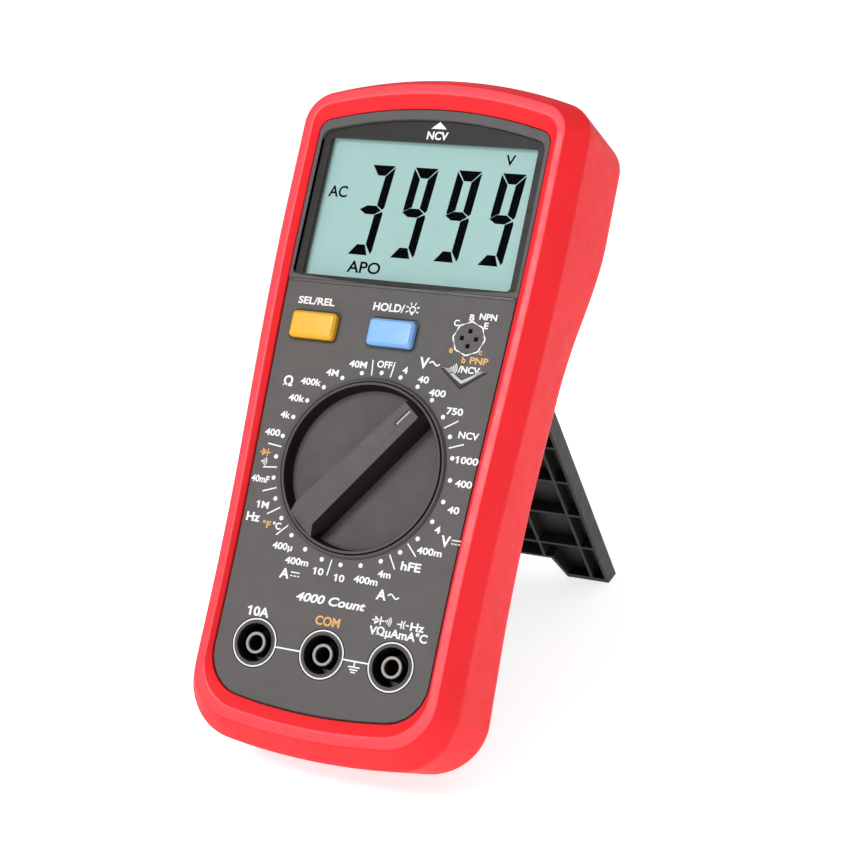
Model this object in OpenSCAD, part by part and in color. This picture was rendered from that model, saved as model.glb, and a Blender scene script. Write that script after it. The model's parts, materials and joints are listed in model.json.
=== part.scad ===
// Handheld digital multimeter standing on its fold-out tilt stand.
// Every sub-part is drawn lying flat in the case's own frame: X to the right, Y up along the case from
// the middle input jack, Z out of the face panel, with the panel's surface at zero.
// The module standing() leans the whole case back until its heel and the stand's feet are on the ground.

/* [Posture] */
// Lean of the case back from upright, in degrees
lean = 38.8; // [38:0.1:40]
// Angle between the case's back and the open stand, in degrees
stand_angle = 65; // [64:1:66]

/* [Case outline] */
// Height of the widest outline above the jack line
shell_top = 157.1; // [156:0.1:158]
// Depth of the widest outline below the jack line
shell_bottom = 26.7; // [26:0.1:27.5]
// Half width of the widest outline beside the display
shell_half_top = 42.5; // [42.2:0.1:42.8]
// Half width of the widest outline beside the jacks
shell_half_low = 38.7; // [38.5:0.1:39]
// Depth of the boot's back behind the jacks and the dial
depth_low = 29; // [29:0.5:30]
// Depth of the boot's back behind the display
depth_top = 36.5; // [36.3:0.1:36.8]

/* [Face panel] */
// Distance between neighbouring input jacks
jack_pitch = 19.8; // [19:0.1:20]
// Radius of the bore of an input jack, for a 4 mm plug
jack_bore_r = 2.05; // [2.03:0.01:2.1]
// Height of the selector's centre above the jack line
dial_v = 48.8; // [48:0.1:49.5]
// Outer radius of the selector knob
knob_r = 22.7; // [22:0.1:22.8]
// Height of the knob's grip above the panel
grip_height = 4.4; // [3:0.1:5]
// Number of selector positions
positions = 28; // [20:1:28]
// Position that the knob points to, counted clockwise from the top
selected = 3; // [0:1:27]
// Travel of the two push buttons
button_travel = 0.9; // [0.5:0.1:0.9]

/* [Tilt stand] */
// Half width of the stand
stand_half = 31.3; // [30:0.1:31.4]
// Thickness of the stand
stand_thick = 5.2; // [5:0.1:5.4]
// Height of the hinge above the jack line
hinge_v = 82; // [81:0.5:83]
// Depth of the hinge behind the panel
hinge_depth = 30; // [30:0.1:30.4]

/* [Hidden] */
$fn = 48;
eps = 0.01;
// Cuts run out to these levels, clear of the material
above = 1;
behind = -5;
beyond = -40;
wide = 50;
far_up = 200;

// An outline is [top, bottom, half width at top, half width low, crown radius at top, crown radius at
// bottom, corner radius at top, corner radius at bottom]. Its half width changes along the waist.
waist = [10, 120];
SHELL = [shell_top, -shell_bottom, shell_half_top, shell_half_low, 130, 186, 9.5, 16];
// The boot's hollow and the case in it are set in from this outline
BODY = [shell_top, -shell_bottom, shell_half_top + 1.1, shell_half_low, 130, 186, 10.5, 16];
RIDGE_OUTER = [153.7, -21.95, 38.1, 35, 125, 170, 8, 13.5];
RIDGE_INNER = [151, -19.25, 36.1, 32.6, 122, 155, 5.5, 12.5];
PANEL_EDGE = [147, -15.75, 34.2, 31.6, 120, 147, 4, 11.5];
CROWN_STEPS = 5;
CORNER_STEPS = 6;
SIDE_STEPS = 14;

function smooth(t) = let (u = max(0, min(1, t))) u * u * (3 - 2 * u);
function inset(o, d) = [o[0] - d, o[1] + d, o[2] - d, o[3] - d, o[4] - d, o[5] - d, o[6] - d, o[7] - d];
function half_at(o, v) = o[3] + (o[2] - o[3]) * smooth((v - waist[0]) / (waist[1] - waist[0]));
function arc(c, r, a0, a1, n, last) =
    [for (i = [0:n - (last ? 0 : 1)]) let (a = a0 + (a1 - a0) * i / n)
        [c[0] + r * cos(a), c[1] + r * sin(a)]];
// Right half of an outline, from the middle of its bottom edge to the middle of its top edge
function half_outline(o) = let (
    low_c = [0, o[1] + o[5]],
    low_x = o[3] - o[7],
    low_y = low_c[1] - sqrt((o[5] - o[7]) * (o[5] - o[7]) - low_x * low_x),
    low_a = atan2(low_y - low_c[1], low_x),
    top_c = [0, o[0] - o[4]],
    top_x = o[2] - o[6],
    top_y = top_c[1] + sqrt((o[4] - o[6]) * (o[4] - o[6]) - top_x * top_x),
    top_a = atan2(top_y - top_c[1], top_x),
    side = [for (i = [0:SIDE_STEPS - 1]) let (v = low_y + (top_y - low_y) * i / SIDE_STEPS)
        [half_at(o, v), v]])
    concat(
        arc(low_c, o[5], -90, low_a, CROWN_STEPS, false),
        arc([low_x, low_y], o[7], low_a, 0, CORNER_STEPS, false),
        side,
        arc([top_x, top_y], o[6], 0, top_a, CORNER_STEPS, false),
        arc(top_c, o[4], top_a, 90, CROWN_STEPS, true));
function outline(o) = let (h = half_outline(o), n = len(h))
    concat(h, [for (i = [1:n - 2]) let (p = h[n - 1 - i]) [-p[0], p[1]]]);

// Boot: a closed loft of rings, round the outside and back through the inside
step_range = [77.7, 123.4];
back_round = 4.5;
side_draft = 1.3;
boot_lip = 2.4;
boot_cavity = 4.2;
rear_opening = 7;
lip_under = -1.5;
crease_w = -5;
ridge_high = 1.5;
heel_flat = 0.35;
function depth_at(v) = let (t = (v - step_range[0]) / (step_range[1] - step_range[0]))
    depth_low + (depth_top - depth_low) * smooth(t);
function front_ring(o, w) = [for (p = outline(o)) [p[0], p[1], w]];
function rear_ring(o, raise) = [for (p = outline(o)) [p[0], p[1], raise - depth_at(p[1])]];
// The back's sides swell beside the jacks and draw in beside the dial, by this share of their width
swell = [[-27, 0.024], [-10, 0.04], [15, 0.015], [50, -0.012], [95, -0.011], [120, 0.009], [158, 0.004]];
function outer_ring(d, raise) =
    [for (p = rear_ring(inset(SHELL, d), raise)) [p[0] * (1 + lookup(p[1], swell)), p[1], p[2]]];
round_mid = back_round * (1 - cos(45));
boot_rings = concat(
    front_ring(PANEL_EDGE, lip_under),
    front_ring(PANEL_EDGE, 0.2),
    front_ring(RIDGE_INNER, ridge_high),
    front_ring(RIDGE_OUTER, ridge_high - 0.2),
    front_ring(SHELL, crease_w),
    outer_ring(side_draft, back_round),
    outer_ring(side_draft + round_mid, round_mid),
    outer_ring(side_draft + back_round, 0),
    rear_ring(inset(BODY, rear_opening), 0),
    rear_ring(inset(BODY, rear_opening), boot_lip),
    rear_ring(inset(BODY, boot_cavity), boot_lip),
    front_ring(inset(BODY, boot_cavity), lip_under));
boot_ring_count = 12;
function height_of(p) = p[1] * cos(lean) + p[2] * sin(lean);
function depth_of(p) = p[1] * sin(lean) - p[2] * cos(lean);
ground = min([for (p = boot_rings) height_of(p)]) + heel_flat;
// The heel of the boot is cut flat where the ground would pass through it
function flatten(p) = let (s = max(0, ground - height_of(p)))
    [p[0], p[1] + s * cos(lean), p[2] + s * sin(lean)];
boot_points = [for (p = boot_rings) flatten(p)];
front_y = min([for (p = boot_points) depth_of(p)]);
back_y = max([for (p = boot_points) depth_of(p)]);
function loft_faces(m, n) = [for (i = [0:m - 1], j = [0:n - 1]) let (
    a = i * n + j, b = i * n + (j + 1) % n, c = ((i + 1) % m) * n + (j + 1) % n, d = ((i + 1) % m) * n + j)
    each [[a, b, c], [a, c, d]]];

// Case halves
CASE = inset(BODY, boot_cavity + 0.2);
case_wall = 2;
parting = -14;
back_w = -26.4;
plate_under = -3.1;
panel_thick = 0.6;
WINDOW = [144.1, 97.6, 32.9, 32.9, 118, 400, 3, 1];
window_top = -1;
window_thick = 1.2;
lcd_half = 30.6;
lcd_span = [98.6, 138.4];
glass_low = 95;
glass_top = -3.2;
glass_under = -5.1;
light_half = 28.5;
light_span = [100.6, 136.4];
light_under = -7.3;
zebra_half = 28;
hump_v = 90;
HUMP = inset(BODY, rear_opening + 0.6);
hump_w = -35.6;
case_screw_at = [[-32, 141.5], [32, 141.5], [-27, -12], [27, -12]];
board_screw_at = [[-33, 76], [33, 76], [-30, 20], [30, 20]];
screw_r = 1.45;
screw_gap = 0.05;
screw_seat = -22;
boss_r = 2.4;
post_r = 2.2;
seat_boss_r = 3.6;
head_bore_r = 2.8;
stem_foot = -9.2;

// Controls and connectors on the panel
button_size = [13.2, 7.2];
button_corner = 1.1;
select_at = [-22.4, 84.8];
hold_at = [0.8, 84.8];
button_gap = 0.2;
button_high = 2.3;
socket_at = [22.6, 85.8];
socket_r = 4.1;
socket_pitch = 1.95;
socket_hole = 0.95;
lens_outline = [[-3.9, 0.9], [0, -1.1], [3.9, 0.9], [3.1, 1.7], [0, 0.1], [-3.1, 1.7]];
lens_at = [23.1, 74.9];
lens_gap = 1.06;
well_r = 22.9;
bezel_r = 23.6;
bezel_high = 0.7;
well_floor = -7.4;
well_plate = 1.5;
hub_r = 5.5;
run_gap = 0.05;
cup_r = 5.05;
cup_wall = 0.85;
cup_floor = -9.5;
jack_xs = [-jack_pitch, 0, jack_pitch];
collar_top = -0.4;
sleeve_top = -8.5;
sleeve_r = 2.55;
sleeve_deep = 14;

// Selector underneath the case
rotor_top = -9.1;
rotor_thick = 3.2;
rotor_r = 18.2;
ball_r = 1.2;
detent_r = 19.4;
ball_w = rotor_top - rotor_thick / 2;
spring_seat = 11;
pointer_angle = -360 / positions * selected;

// Board
board_top = -13.2;
board_thick = 1.6;
board_under = board_top - board_thick;
BOARD = inset(BODY, 7.2);
battery_size = [48.5, 26.5, 17.5];
battery_at = [-2.6, 114.3, -24.3];
door_half = 28.4;
door_span = [97, 137.4];
door_thick = 2;
door_screw_v = 133.6;
door_screw_r = 1.2;
door_post_top = -24;
terminal_at = 6.35;

// Stand
pin_r = 1.75;
pin_long = 2.2;
lug_gap = 0.3;
lug_thick = 3.1;
stand_skin = 1.5;
rib = 0.9;
rib_pitch_x = 13.1;
rib_pitch_y = 15.9;
tail = 3.85;
notch_half = [15, 18.6];
notch_deep = 10.2;
hinge_high = hinge_v * cos(lean) - hinge_depth * sin(lean) - ground;
stand_long = hinge_high / cos(stand_angle - lean);

red = "#f23a42";
grey = "#5c5a5b";
dark = "#3a3a3c";
black = "#1d1d1f";
steel = "#b9bcc0";
brass = "#c9a450";

module standing() {
    translate([0, -(front_y + back_y) / 2, -ground])
        rotate([90 - lean, 0, 0])
            children();
}
module slab(o, low, high) {
    translate([0, 0, low])
        linear_extrude(high - low)
            polygon(outline(o));
}
module plate(size, corner, low, high) {
    xs = size[0] / 2 - corner;
    ys = size[1] / 2 - corner;
    corners = [[xs, ys, 0], [-xs, ys, 90], [-xs, -ys, 180], [xs, -ys, 270]];
    translate([0, 0, low])
        linear_extrude(high - low)
            polygon([for (c = corners) each arc(c, corner, c[2], c[2] + 90, 5, true)]);
}
module block(from, to) {
    translate(from)
        cube(to - from);
}
module rod(r, low, high) {
    translate([0, 0, low])
        cylinder(r = r, h = high - low);
}
module at(p) {
    translate([p[0], p[1], 0])
        children();
}
module screw(head_r, head_high, r, from, to) {
    difference() {
        union() {
            rod(head_r, from - head_high, from);
            rod(r, from - eps, to);
        }
        for (a = [0, 90])
            rotate([0, 0, a])
                block([-head_r * 0.65, -0.35, from - head_high - 1],
                    [head_r * 0.65, 0.35, from - head_high * 0.4]);
    }
}

module holster() {
    color(red)
        standing()
            polyhedron(
                points = boot_points,
                faces = loft_faces(boot_ring_count, len(boot_points) / boot_ring_count));
}

module front_case() {
    color(grey)
        standing()
            difference() {
                union() {
                    difference() {
                        slab(CASE, parting, lip_under);
                        slab(inset(CASE, case_wall), parting - 1, plate_under);
                    }
                    slab(inset(PANEL_EDGE, 0.25), lip_under - eps, -panel_thick);
                    window_rim();
                    at([0, dial_v]) {
                        rod(well_r + case_wall, well_floor - well_plate, plate_under + eps);
                        rod(bezel_r, plate_under, bezel_high);
                        rod(detent_r + 2, rotor_top - rotor_thick, well_floor);
                    }
                    for (p = case_screw_at)
                        at(p)
                            rod(boss_r, parting, plate_under + eps);
                    for (p = board_screw_at)
                        at(p)
                            rod(post_r, board_top, plate_under + eps);
                }
                slab(WINDOW, window_top - window_thick, above);
                block([-lcd_half, lcd_span[0], behind], [lcd_half, lcd_span[1], 0]);
                at([0, dial_v]) {
                    rod(well_r, well_floor, bezel_high + above);
                    rod(hub_r + run_gap, beyond, 0);
                    rod(detent_r, beyond, well_floor - well_plate);
                    for (i = [0:positions - 1])
                        rotate([0, 0, 90 + i * 360 / positions])
                            translate([detent_r - ball_r + 0.5, 0, 0])
                                rod(ball_r + 0.1, beyond, well_floor - well_plate);
                }
                for (p = [select_at, hold_at])
                    at(p)
                        plate(button_size + [2, 2] * button_gap, button_corner + button_gap, behind, above);
                at(socket_at)
                    rod(socket_r + 0.1, behind, above);
                at(lens_at)
                    lens(lens_gap, behind, above);
                for (x = jack_xs)
                    at([x, 0])
                        rod(cup_r + cup_wall + 0.1, behind, above);
                for (p = concat(case_screw_at, board_screw_at))
                    at(p)
                        rod(screw_r + screw_gap, parting - 1, behind);
            }
}
// Raised rim round the display window
module window_rim() {
    difference() {
        slab(inset(PANEL_EDGE, 0.25), -panel_thick - eps, 0);
        block([-wide, -wide, behind], [wide, WINDOW[1] + eps, above]);
    }
}

module face_panel() {
    color("#68656a")
        standing()
            difference() {
                slab(inset(PANEL_EDGE, 0.5), -panel_thick, 0);
                block([-wide, WINDOW[1] - 0.1, behind], [wide, far_up, above]);
                at([0, dial_v])
                    rod(bezel_r + 0.1, behind, above);
                for (p = [select_at, hold_at])
                    at(p)
                        plate(button_size + [2, 2] * button_gap, button_corner + button_gap, behind, above);
                at(socket_at)
                    rod(socket_r + 0.1, behind, above);
                at(lens_at)
                    lens(lens_gap, behind, above);
                for (x = jack_xs)
                    at([x, 0])
                        rod(cup_r, behind, above);
            }
}

module display_window() {
    color("#2b2c2c", 0.6)
        standing()
            slab(inset(WINDOW, 0.1), window_top - window_thick, window_top);
}
module lcd_glass() {
    color("#a7cdc9")
        standing()
            block([-lcd_half + 0.3, glass_low, glass_under],
                [lcd_half - 0.3, lcd_span[1] - 0.2, glass_top]);
}
module lcd_frame() {
    color("white")
        standing()
            difference() {
                block([-lcd_half - 0.8, glass_low - 1.7, light_under - 1.3],
                    [lcd_half + 0.8, lcd_span[1] + 0.4, glass_top]);
                block([-lcd_half + 0.1, glass_low - 0.2, glass_under - 0.1], [lcd_half - 0.1, lcd_span[1], above]);
                block([-light_half - 0.1, light_span[0] - 0.1, light_under - 0.1],
                    [light_half + 0.1, light_span[1] + 0.1, glass_under + 0.1]);
                block([-zebra_half - 1, glass_low + 0.2, beyond], [zebra_half + 1, glass_low + 2.8, above]);
            }
}
module backlight() {
    color("#e8f4f0")
        standing()
            block([-light_half, light_span[0], light_under], [light_half, light_span[1], glass_under - 0.2]);
}
module zebra_strip() {
    color("#d98ba0")
        standing()
            block([-zebra_half, glass_low + 0.3, board_top], [zebra_half, glass_low + 2.7, glass_under - 0.1]);
}

// The knob is a dished disc with a bar grip across it
module selector_knob() {
    rim_high = 1.3;
    dish = -3.2;
    floor_thick = 1.7;
    skirt_low = -7.2;
    skirt_r = 20;
    color(dark)
        standing()
            translate([0, dial_v, 0])
                rotate([0, 0, pointer_angle]) {
                    difference() {
                        union() {
                            rotate_extrude($fn = 96)
                                polygon([[0, dish - floor_thick], [0, dish], [20.3, dish], [21.1, dish + 0.4],
                                    [21.5, dish + 1.1], [21.8, rim_high - 0.4], [22, rim_high],
                                    [knob_r - 0.3, rim_high], [knob_r, rim_high - 0.3],
                                    [knob_r, skirt_low + 1.2], [knob_r - 1.4, skirt_low],
                                    [skirt_r, skirt_low], [skirt_r, dish - floor_thick]]);
                            grip(dish);
                            rod(hub_r, rotor_top - rotor_thick, dish - 1);
                        }
                        rod(1.1, beyond, dish - 3);
                    }
                }
}
// Bar grip, wider at its tail than at its pointer, with sloping ends and an indicator slot
module grip(floor_w) {
    half_tail = 4;
    half_tip = 3;
    foot = 0.9;
    ends = [[-18.3, -22.1], [20.6, 21.9]];
    bottom = [[-half_tail - foot, ends[0][1]], [half_tail + foot, ends[0][1]],
        [half_tip + foot, ends[1][1]], [-half_tip - foot, ends[1][1]]];
    top = [[-half_tail, ends[0][0]], [half_tail, ends[0][0]],
        [half_tip, ends[1][0]], [-half_tip, ends[1][0]]];
    difference() {
        intersection() {
            polyhedron(
                points = concat(
                    [for (p = bottom) [p[0], p[1], floor_w - 0.5]],
                    [for (p = bottom) [p[0], p[1], 0.9]],
                    [for (p = top) [p[0], p[1], grip_height]]),
                faces = concat(
                    [[0, 1, 2, 3], [11, 10, 9, 8]],
                    [for (k = [0, 4], i = [0:3]) let (j = (i + 1) % 4)
                        each [[k + i, k + 4 + i, k + 4 + j], [k + i, k + 4 + j, k + j]]]));
            rod(knob_r - 0.2, -10, 10);
        }
        block([-0.55, 14.9, grip_height - 0.6], [0.55, 20.2, grip_height + 1]);
    }
}

module selector_rotor() {
    color("white")
        standing()
            at([0, dial_v])
                rotate([0, 0, pointer_angle])
                    difference() {
                        rod(rotor_r, rotor_top - rotor_thick, rotor_top);
                        rod(hub_r + run_gap, beyond, 0);
                        for (s = [-1, 1]) {
                            translate([0, s * spring_seat, ball_w])
                                rotate([-90 * s, 0, 0])
                                    cylinder(r = ball_r + 0.05, h = 10);
                            translate([s * 12, 0, 0])
                                rod(3, beyond, 0);
                        }
                    }
}
// Two sprung bridges that slide on the board's tracks
module wiper_contacts() {
    leaf = [1.6, 0.35];
    bump_r = 0.4;
    under = rotor_top - rotor_thick;
    color(brass)
        standing()
            at([0, dial_v])
                rotate([0, 0, pointer_angle])
                    for (a = [40, 220], r = [8.5, 14])
                        rotate([0, 0, a]) {
                            translate([0, 0, under - leaf[1]])
                                rotate_extrude(angle = 50)
                                    translate([r, 0])
                                        square(leaf);
                            rotate([0, 0, 25])
                                translate([r + leaf[0] / 2, 0, under - bump_r - 0.02])
                                    sphere(r = bump_r);
                        }
}
module detent_balls() {
    color(steel)
        standing()
            at([0, dial_v])
                rotate([0, 0, pointer_angle])
                    for (s = [-1, 1])
                        translate([0, s * (detent_r - ball_r - 0.1), ball_w])
                            sphere(r = ball_r);
}
// Round wire wound into a helix from the origin along Z
module coil(coil_r, wire_r, long, turns) {
    sides = 6;
    steps = 14 * turns;
    points = [for (i = [0:steps], k = [0:sides - 1]) let (
        a = i / steps * turns * 360,
        reach = coil_r + wire_r * cos(k * 360 / sides))
        [reach * cos(a), reach * sin(a), long * i / steps + wire_r * sin(k * 360 / sides)]];
    walls = [for (i = [0:steps - 1], k = [0:sides - 1]) let (
        a = i * sides + k, b = i * sides + (k + 1) % sides)
        each [[a, b, b + sides], [a, b + sides, a + sides]]];
    first = [for (k = [0:sides - 1]) sides - 1 - k];
    last = [for (k = [0:sides - 1]) steps * sides + k];
    polyhedron(points = points, faces = concat(walls, [first, last]));
}
module detent_springs() {
    wire_r = 0.2;
    color(steel)
        standing()
            at([0, dial_v])
                rotate([0, 0, pointer_angle])
                    for (s = [-1, 1])
                        translate([0, s * (detent_r - 2 * ball_r - 0.15 - wire_r), ball_w])
                            rotate([90 * s, 0, 0])
                                coil(0.85, wire_r, 5.2, 5);
}

module push_button(p, hue) {
    flange_top = plate_under - 0.3;
    color(hue)
        standing()
            at(p) {
                plate(button_size, button_corner, flange_top - eps, button_high);
                plate(button_size + [2, 2], button_corner, flange_top - 1.2, flange_top);
                plate([6, 4], 0.5, stem_foot, flange_top - 1);
            }
}
module select_button() {
    push_button(select_at, "#fcbe2d");
}
module hold_button() {
    push_button(hold_at, "#91c3fa");
}
// Silicone keypad with a dome under each button
module button_pad() {
    color("#6d7076")
        standing() {
            block([-30.6, 79.5, board_top], [9.5, 90.2, board_top + 1]);
            for (p = [select_at, hold_at])
                at(p) {
                    rod(3.4, board_top, board_top + 1.9);
                    rod(2, board_top, stem_foot - button_travel - 0.2);
                }
        }
}

module transistor_socket() {
    color(dark)
        standing()
            at(socket_at)
                difference() {
                    rod(socket_r, board_top, 0);
                    socket_places()
                        block([-socket_hole / 2, -socket_hole / 2, beyond],
                            [socket_hole / 2, socket_hole / 2, above]);
                }
}
module socket_places() {
    for (a = [0:90:270])
        rotate([0, 0, a])
            translate([socket_pitch, 0, 0])
                children();
}
module socket_contacts() {
    color(brass)
        standing()
            at(socket_at)
                socket_places()
                    block([-0.25, -0.25, board_under - 1.2], [0.25, 0.25, -6]);
}
module lens(scale, low, high) {
    translate([0, 0, low])
        linear_extrude(high - low)
            polygon(lens_outline * scale);
}
module alarm_lens() {
    color("#b9b6b0", 0.7)
        standing()
            at(lens_at)
                lens(1, -6, 0.1);
}
module alarm_led() {
    color("#d93a2e")
        standing()
            at(lens_at)
                plate([3.2, 1.6], 0.3, board_top, board_top + 1.9);
}

// Three shrouded wells in one insulating moulding
module jack_block() {
    collar_r = 2.76;
    shroud_r = 3.2;
    shroud_top = -3.5;
    under = cup_floor - 1.5;
    color(black)
        standing()
            difference() {
                union() {
                    for (x = jack_xs)
                        at([x, 0])
                            rod(cup_r + cup_wall, under, -panel_thick - 0.05);
                    block([-jack_pitch, -3, under], [jack_pitch, 3, cup_floor]);
                }
                for (x = jack_xs)
                    at([x, 0]) {
                        difference() {
                            rod(cup_r, cup_floor, above);
                            rod(collar_r, beyond, collar_top);
                            rod(shroud_r, beyond, shroud_top);
                        }
                        rod(jack_bore_r, sleeve_top - 1, above);
                        rod(sleeve_r + screw_gap, beyond, sleeve_top + 0.1);
                    }
            }
}
module jack_sleeve(x) {
    flange_r = 4.2;
    color(brass)
        standing()
            at([x, 0])
                difference() {
                    union() {
                        rod(sleeve_r, sleeve_top - sleeve_deep - 1, sleeve_top);
                        rod(flange_r, board_top, cup_floor - 1.7);
                    }
                    rod(jack_bore_r, sleeve_top - sleeve_deep, above);
                }
}
module jack_sleeve_current() {
    jack_sleeve(jack_xs[0]);
}
module jack_sleeve_common() {
    jack_sleeve(jack_xs[1]);
}
module jack_sleeve_voltage() {
    jack_sleeve(jack_xs[2]);
}

module main_board() {
    color("#2e6b3e")
        standing()
            difference() {
                slab(BOARD, board_under, board_top);
                for (p = case_screw_at)
                    at(p)
                        rod(boss_r + 0.3, beyond, 0);
                for (p = board_screw_at)
                    at(p)
                        rod(screw_r + 0.1, beyond, 0);
                for (x = jack_xs)
                    at([x, 0])
                        rod(sleeve_r + 0.1, beyond, 0);
                at(socket_at)
                    socket_places()
                        rod(socket_hole / 2, beyond, 0);
            }
}
module board_screws() {
    color(steel)
        standing()
            for (p = board_screw_at)
                at(p)
                    screw(2.4, 1.5, screw_r, board_under, -8);
}
module measuring_chip() {
    side = 14;
    legs = 11;
    leg_pitch = 1.1;
    leg_long = 1.2;
    color(black)
        standing()
            at([4, 66]) {
                plate([side, side], 0.4, board_under - 2, board_under - 0.2);
                for (a = [0:90:270], i = [0:legs - 1])
                    rotate([0, 0, a])
                        translate([0, (i - (legs - 1) / 2) * leg_pitch, 0])
                            block([side / 2 - eps, -0.2, board_under - 1],
                                [side / 2 + leg_long, 0.2, board_under - 0.7]);
            }
}
module capacitors() {
    can_r = 3.1;
    can_high = 7.5;
    color("#26386b")
        standing()
            for (p = [[20, 62], [28, 62]])
                at(p) {
                    rod(can_r, board_under - can_high, board_under - 0.3);
                    rod(can_r - 0.3, board_under - 0.4, board_under);
                }
}
module varistors() {
    disc_r = 4.4;
    disc_thick = 3.2;
    color("#3a6fb0")
        standing()
            for (x = [16, 23])
                translate([x, 26, board_under - disc_r - 0.2])
                    rotate([0, 90, 0])
                        cylinder(r = disc_r, h = disc_thick, center = true);
}
module trimmer() {
    side = 6.6;
    high = 3.6;
    color("#2a5fa8")
        standing()
            at([-20, 84])
                difference() {
                    plate([side, side], 0.4, board_under - high, board_under);
                    rod(1.6, beyond, board_under - high + 0.6);
                }
}
module current_shunt() {
    bow = 6;
    wire_r = 0.8;
    color("#b8763a")
        standing()
            translate([-20, 40, board_under])
                rotate([-90, 0, 0])
                    rotate_extrude(angle = 180)
                        translate([bow, 0])
                            circle(wire_r, $fn = 24);
}

// A fuse is a tube with a cap on each end, lying along X
module fuse(r, long, cap) {
    rotate([0, 90, 0]) {
        cylinder(r = r - 0.25, h = long - 1, center = true);
        for (s = [-1, 1])
            translate([0, 0, s * (long - cap) / 2])
                cylinder(r = r, h = cap, center = true);
    }
}
large_fuse_r = 3.15;
small_fuse_r = 2.6;
large_fuse_at = [-6, 16, board_under - 4.2];
small_fuse_at = [-2, 29.5, board_under - 3.6];
module large_fuse() {
    color("#e6e2d8")
        standing()
            translate(large_fuse_at)
                fuse(large_fuse_r, 32, 6);
}
module small_fuse() {
    color("#dfe6e8")
        standing()
            translate(small_fuse_at)
                fuse(small_fuse_r, 20, 5);
}
module fuse_clip(r, at_x) {
    width = 4;
    spring = 0.45;
    translate([at_x, 0, 0])
        difference() {
            union() {
                rotate([0, 90, 0])
                    cylinder(r = r + spring, h = width, center = true);
                block([-width / 2, -1.2, 0], [width / 2, 1.2, r + 1]);
            }
            rotate([0, 90, 0])
                cylinder(r = r + 0.03, h = width + 1, center = true);
            block([-width, -r * 0.75, -r - 2], [width, r * 0.75, -r * 0.3]);
        }
}
module fuse_clips() {
    color(steel)
        standing() {
            for (s = [-1, 1]) {
                translate(large_fuse_at)
                    fuse_clip(large_fuse_r, s * 13);
                translate(small_fuse_at)
                    fuse_clip(small_fuse_r, s * 7.5);
            }
        }
}
module buzzer() {
    seat = back_w + case_wall;
    color(brass)
        standing()
            at([-18, 62]) {
                rod(10, seat, seat + 0.5);
                rod(7, seat + 0.4, seat + 0.8);
            }
}

module rear_case() {
    door_seat = hump_w + door_thick;
    ledge = 1.2;
    color(dark)
        standing()
            difference() {
                union() {
                    difference() {
                        slab(CASE, back_w, parting - 0.05);
                        slab(inset(CASE, case_wall), back_w + case_wall, 0);
                    }
                    intersection() {
                        slab(HUMP, hump_w, back_w + eps);
                        block([-wide, hump_v, beyond], [wide, far_up, 0]);
                    }
                    for (p = case_screw_at)
                        at(p) {
                            rod(seat_boss_r, back_w, board_under - 1.2);
                            rod(boss_r, board_under - 1.3, parting - 0.05);
                        }
                    for (s = [-1, 1])
                        stand_lug(s);
                }
                difference() {
                    intersection() {
                        slab(inset(HUMP, case_wall), door_seat + ledge, back_w + case_wall + eps);
                        block([-wide, hump_v + case_wall, beyond], [wide, far_up, 0]);
                    }
                    for (p = case_screw_at)
                        at(p)
                            rod(seat_boss_r, beyond, 0);
                    door_boss(0);
                    battery_walls();
                }
                difference() {
                    block([-door_half + ledge, door_span[0] + ledge, hump_w - 1],
                        [door_half - ledge, door_span[1] - ledge, door_seat + ledge + 1]);
                    door_boss(door_seat);
                }
                block([-door_half, door_span[0], hump_w - 1], [door_half, door_span[1], door_seat]);
                for (p = case_screw_at)
                    at(p) {
                        rod(screw_r + screw_gap, beyond, 0);
                        rod(head_bore_r, beyond, screw_seat);
                    }
                at([0, door_screw_v])
                    rod(door_screw_r + 0.1, beyond, -25);
            }
}
// Web and post that take the battery door's screw
module door_boss(low) {
    at([0, door_screw_v])
        rod(3, min(low, hump_w), door_post_top);
    block([-3, door_screw_v, min(low, hump_w)], [3, door_span[1] + 5, door_post_top]);
}
module battery_walls() {
    wall = 1.3;
    gap = 0.3;
    reach = battery_size[1] / 2 + gap;
    for (v = [battery_at[1] - reach - wall, battery_at[1] + reach])
        block([-29, v, beyond], [29, v + wall, 0]);
}
module stand_lug(s) {
    near = stand_half + lug_gap;
    lug_r = 3.3;
    web = 4.5;
    translate([s * (near + lug_thick / 2), hinge_v, -hinge_depth])
        difference() {
            union() {
                rotate([0, 90, 0])
                    cylinder(r = lug_r, h = lug_thick, center = true);
                block([-lug_thick / 2, -web, 0], [lug_thick / 2, web, hinge_depth + back_w + eps]);
            }
            rotate([0, 90, 0])
                cylinder(r = pin_r + run_gap, h = 3 * lug_thick, center = true);
        }
}
module case_screws() {
    color(steel)
        standing()
            for (p = case_screw_at)
                at(p)
                    screw(2.6, 1.8, screw_r, screw_seat, -9.5);
}

module battery() {
    color("#44484c")
        standing()
            translate(battery_at)
                rotate([90, 0, 90]) {
                    plate([battery_size[1], battery_size[2]], 2, -battery_size[0] / 2, battery_size[0] / 2);
                    for (s = [-1, 1])
                        translate([s * terminal_at, 0, 0])
                            rod(2.8, 0, battery_size[0] / 2 + 2.5);
                }
}
module battery_snap() {
    face = battery_size[0] / 2 + 0.1;
    color(black)
        standing()
            translate(battery_at)
                rotate([90, 0, 90])
                    difference() {
                        plate([22, 11], 2, face, face + 3.6);
                        for (s = [-1, 1])
                            translate([s * terminal_at, 0, 0])
                                rod(2.9, 0, face + 2.6);
                    }
}
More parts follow.
